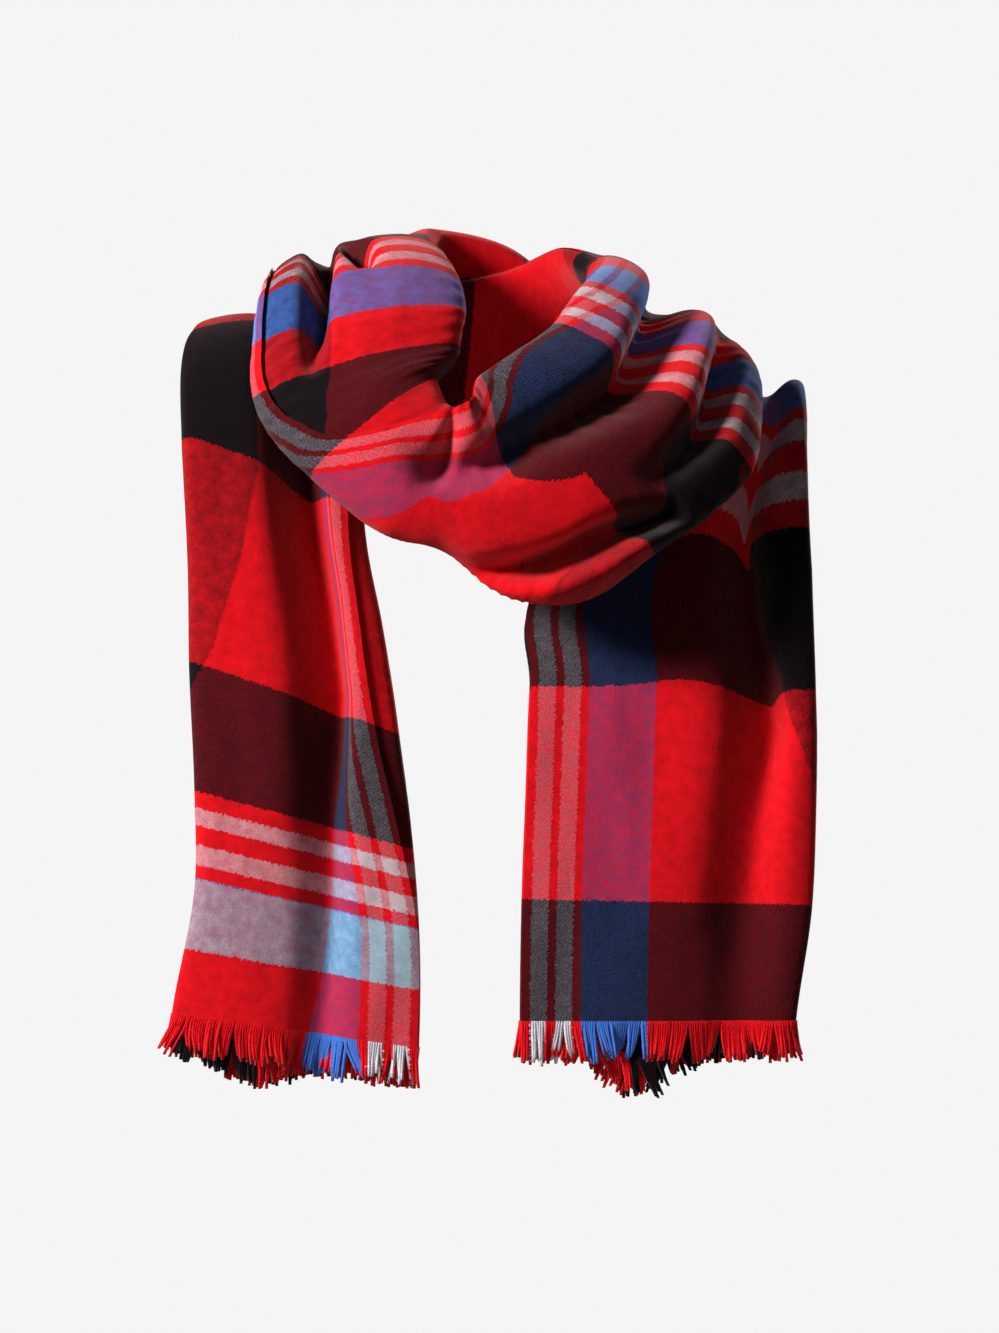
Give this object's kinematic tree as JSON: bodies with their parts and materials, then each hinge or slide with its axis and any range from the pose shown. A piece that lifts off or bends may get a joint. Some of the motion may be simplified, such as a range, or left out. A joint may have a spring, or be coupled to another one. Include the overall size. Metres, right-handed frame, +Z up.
{
  "type": "worn blanket scarf",
  "caption": "Oversized plaid blanket scarf rolled into a loose band and wound round the neck, both fringed ends hanging in front.",
  "frame": {"origin": "centre of the neck that the scarf is wound round, at the height of the neck's base where the scarf is held", "axes": "+Z up along the neck, -Y the front where both ends hang, +X towards a viewer's right"},
  "size_m": [0.3946, 0.3013, 0.5342],
  "materials": {
    "plaid_cloth": "soft brushed twill",
    "fringe_yarn": "twisted soft yarn"
  },
  "bodies": {
    "root": {"left_fringe": "fringe_yarn", "left_drop": "plaid_cloth", "nape_under": "plaid_cloth", "front_ridges": "plaid_cloth", "front_roll": "plaid_cloth", "left_bundle": "plaid_cloth", "nape_over": "plaid_cloth", "right_shoulder": "plaid_cloth", "right_drop": "plaid_cloth", "right_fringe": "fringe_yarn"}
  },
  "joints": []
}
